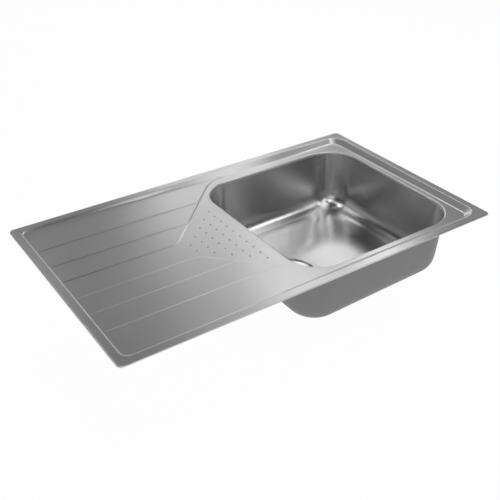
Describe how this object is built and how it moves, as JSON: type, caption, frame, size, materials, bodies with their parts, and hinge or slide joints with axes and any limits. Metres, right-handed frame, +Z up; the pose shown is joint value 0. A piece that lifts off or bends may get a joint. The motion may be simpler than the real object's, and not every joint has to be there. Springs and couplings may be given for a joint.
{
  "type": "kitchen sink with drainboard",
  "caption": "Inset stainless steel kitchen sink: terraced drainboard with a raised-dot funnel, one deep rounded bowl, basket strainer waste and worktop clips under the rim.",
  "frame": {"origin": "lower face of the rim seal at the middle of the front edge, on the worktop surface", "axes": "+X from the drainboard to the bowl, +Y from the front to the back, +Z up"},
  "size_m": [0.86, 0.5, 0.2247],
  "materials": {
    "stainless_sheet": "satin brushed stainless steel sheet",
    "turned_stainless": "bright polished stainless steel",
    "zinc_steel": "bright zinc-plated steel",
    "black_rubber": "matt black rubber",
    "grey_foam": "closed-cell foam strip",
    "grey_felt": "matt sound-damping pad",
    "white_plastic": "moulded polypropylene",
    "dark_plastic": "moulded knob"
  },
  "bodies": {
    "sink": {"deck": "stainless_sheet", "bowl": "stainless_sheet", "rim_seal": "grey_foam", "sound_pad": "grey_felt", "strainer_cup": "turned_stainless", "cup_seal": "black_rubber", "lower_seal": "black_rubber", "waste_body": "white_plastic", "fixing_bolt": "turned_stainless", "clip_bracket_1": "zinc_steel", "clip_bracket_2": "zinc_steel", "clip_bracket_3": "zinc_steel", "clip_bracket_4": "zinc_steel", "clip_bracket_5": "zinc_steel", "clip_bracket_6": "zinc_steel", "clip_bracket_7": "zinc_steel", "clip_bracket_8": "zinc_steel"},
    "basket": {"basket": "turned_stainless", "basket_stopper": "black_rubber", "basket_post": "turned_stainless", "basket_knob": "dark_plastic"},
    "clip_screw_1": {"clip_screw_1": "zinc_steel"},
    "clip_dog_1": {"clip_dog_1": "zinc_steel"},
    "clip_screw_2": {"clip_screw_2": "zinc_steel"},
    "clip_dog_2": {"clip_dog_2": "zinc_steel"},
    "clip_screw_3": {"clip_screw_3": "zinc_steel"},
    "clip_dog_3": {"clip_dog_3": "zinc_steel"},
    "clip_screw_4": {"clip_screw_4": "zinc_steel"},
    "clip_dog_4": {"clip_dog_4": "zinc_steel"},
    "clip_screw_5": {"clip_screw_5": "zinc_steel"},
    "clip_dog_5": {"clip_dog_5": "zinc_steel"},
    "clip_screw_6": {"clip_screw_6": "zinc_steel"},
    "clip_dog_6": {"clip_dog_6": "zinc_steel"},
    "clip_screw_7": {"clip_screw_7": "zinc_steel"},
    "clip_dog_7": {"clip_dog_7": "zinc_steel"},
    "clip_screw_8": {"clip_screw_8": "zinc_steel"},
    "clip_dog_8": {"clip_dog_8": "zinc_steel"}
  },
  "joints": [
    {"name": "basket_lift", "type": "slide", "parent": "sink", "child": "basket", "axis": [0, 0, 1], "range_m": [0, 0.045]},
    {"name": "clip_1_rise", "type": "slide", "parent": "sink", "child": "clip_screw_1", "axis": [0, 0, 1], "range_m": [0, 0.012]},
    {"name": "clip_1_swing", "type": "hinge", "parent": "clip_screw_1", "child": "clip_dog_1", "pos_m": [-0.33, 0.055, -0.047], "axis": [0, 0, -1], "range_deg": [0, 90]},
    {"name": "clip_2_rise", "type": "slide", "parent": "sink", "child": "clip_screw_2", "axis": [0, 0, 1], "range_m": [0, 0.012]},
    {"name": "clip_2_swing", "type": "hinge", "parent": "clip_screw_2", "child": "clip_dog_2", "pos_m": [-0.11, 0.055, -0.047], "axis": [0, 0, -1], "range_deg": [0, 90]},
    {"name": "clip_3_rise", "type": "slide", "parent": "sink", "child": "clip_screw_3", "axis": [0, 0, 1], "range_m": [0, 0.012]},
    {"name": "clip_3_swing", "type": "hinge", "parent": "clip_screw_3", "child": "clip_dog_3", "pos_m": [-0.33, 0.427, -0.047], "axis": [0, 0, -1], "range_deg": [0, 90]},
    {"name": "clip_4_rise", "type": "slide", "parent": "sink", "child": "clip_screw_4", "axis": [0, 0, 1], "range_m": [0, 0.012]},
    {"name": "clip_4_swing", "type": "hinge", "parent": "clip_screw_4", "child": "clip_dog_4", "pos_m": [-0.11, 0.427, -0.047], "axis": [0, 0, -1], "range_deg": [0, 90]},
    {"name": "clip_5_rise", "type": "slide", "parent": "sink", "child": "clip_screw_5", "axis": [0, 0, 1], "range_m": [0, 0.012]},
    {"name": "clip_5_swing", "type": "hinge", "parent": "clip_screw_5", "child": "clip_dog_5", "pos_m": [-0.366, 0.119, -0.047], "axis": [0, 0, -1], "range_deg": [0, 90]},
    {"name": "clip_6_rise", "type": "slide", "parent": "sink", "child": "clip_screw_6", "axis": [0, 0, 1], "range_m": [0, 0.012]},
    {"name": "clip_6_swing", "type": "hinge", "parent": "clip_screw_6", "child": "clip_dog_6", "pos_m": [-0.366, 0.355, -0.047], "axis": [0, 0, -1], "range_deg": [0, 90]},
    {"name": "clip_7_rise", "type": "slide", "parent": "sink", "child": "clip_screw_7", "axis": [0, 0, 1], "range_m": [0, 0.012]},
    {"name": "clip_7_swing", "type": "hinge", "parent": "clip_screw_7", "child": "clip_dog_7", "pos_m": [0.404, 0.121, -0.047], "axis": [0, 0, -1], "range_deg": [0, 90]},
    {"name": "clip_8_rise", "type": "slide", "parent": "sink", "child": "clip_screw_8", "axis": [0, 0, 1], "range_m": [0, 0.012]},
    {"name": "clip_8_swing", "type": "hinge", "parent": "clip_screw_8", "child": "clip_dog_8", "pos_m": [0.404, 0.321, -0.047], "axis": [0, 0, -1], "range_deg": [0, 90]}
  ]
}
